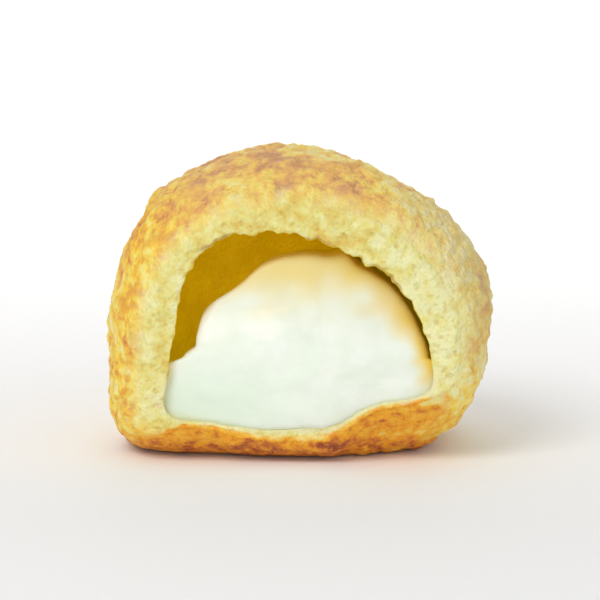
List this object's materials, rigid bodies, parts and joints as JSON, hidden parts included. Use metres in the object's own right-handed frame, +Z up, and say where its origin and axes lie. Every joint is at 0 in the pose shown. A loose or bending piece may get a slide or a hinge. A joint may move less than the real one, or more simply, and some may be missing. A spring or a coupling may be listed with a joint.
{
  "type": "pao de queijo",
  "caption": "Baked cheese bread ball with its front sliced off, showing a thin crumb wall and the soft cheese filling in its hollow.",
  "frame": {"origin": "bottom centre of the whole piece, on the surface that it rests on", "axes": "+Z up, -Y out of the cut face, +X to the right of someone who looks at the cut face"},
  "size_m": [0.0544, 0.0416, 0.043],
  "materials": {
    "bread": "dry baked crust, pale yellow with golden brown patches",
    "soft_cheese": "moist, smooth and slightly glossy"
  },
  "bodies": {
    "root": {"bread_shell": "bread", "cheese_filling": "soft_cheese"}
  },
  "joints": []
}
